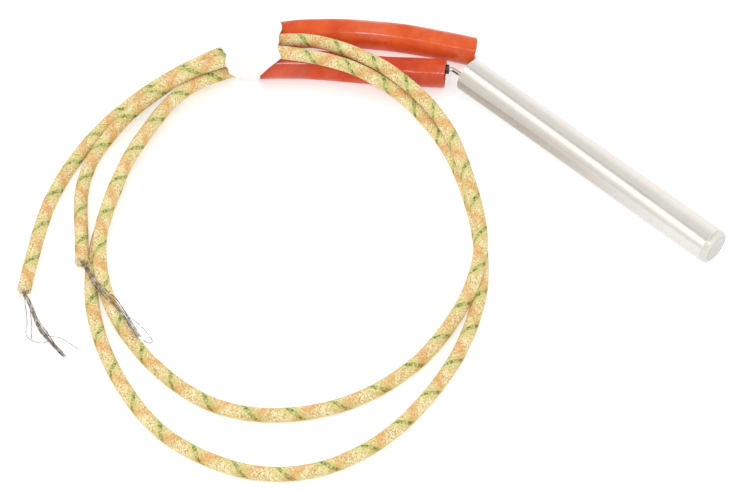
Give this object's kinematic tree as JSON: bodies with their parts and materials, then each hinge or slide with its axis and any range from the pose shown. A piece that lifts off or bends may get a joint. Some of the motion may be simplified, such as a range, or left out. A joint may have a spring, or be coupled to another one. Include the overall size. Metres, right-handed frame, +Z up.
{
  "type": "cartridge heater",
  "caption": "Round metal-sheathed cartridge heater with a welded end disc, sleeved crimps and long braided leads coiled and taped beside it, their stripped ends frayed.",
  "frame": {"origin": "on the sheath's axis, at the plane of its lead end", "axes": "+X along the sheath towards the end disc, +Z up from the bench the heater lies on, the coiled leads towards -Y"},
  "size_m": [0.1488, 0.1488, 0.0128],
  "materials": {
    "sheath_steel": "satin",
    "ceramic": "fired ceramic, matte",
    "oxide": "packed oxide powder",
    "alloy": "dull nickel alloy",
    "strand": "dull plated copper strand",
    "sleeve_red": "satin coated glass sleeve",
    "braid": "woven glass yarn",
    "tape": "plain white tape"
  },
  "bodies": {
    "root": {"sheath": "sheath_steel", "end_disc": "sheath_steel", "end_spacer": "ceramic", "insulation_fill": "oxide", "core_1": "ceramic", "core_2": "ceramic", "core_3": "ceramic", "core_4": "ceramic", "resistance_coil": "alloy", "short_pin": "alloy", "long_pin": "alloy", "lead_end_seal": "ceramic", "crimp_1": "alloy", "crimp_2": "alloy", "sleeve_1": "sleeve_red", "sleeve_2": "sleeve_red", "conductor_1": "strand", "conductor_2": "strand", "lead_1": "braid", "lead_2": "braid", "bare_end_1": "strand", "bare_end_2": "strand", "tie_band": "tape"}
  },
  "joints": []
}
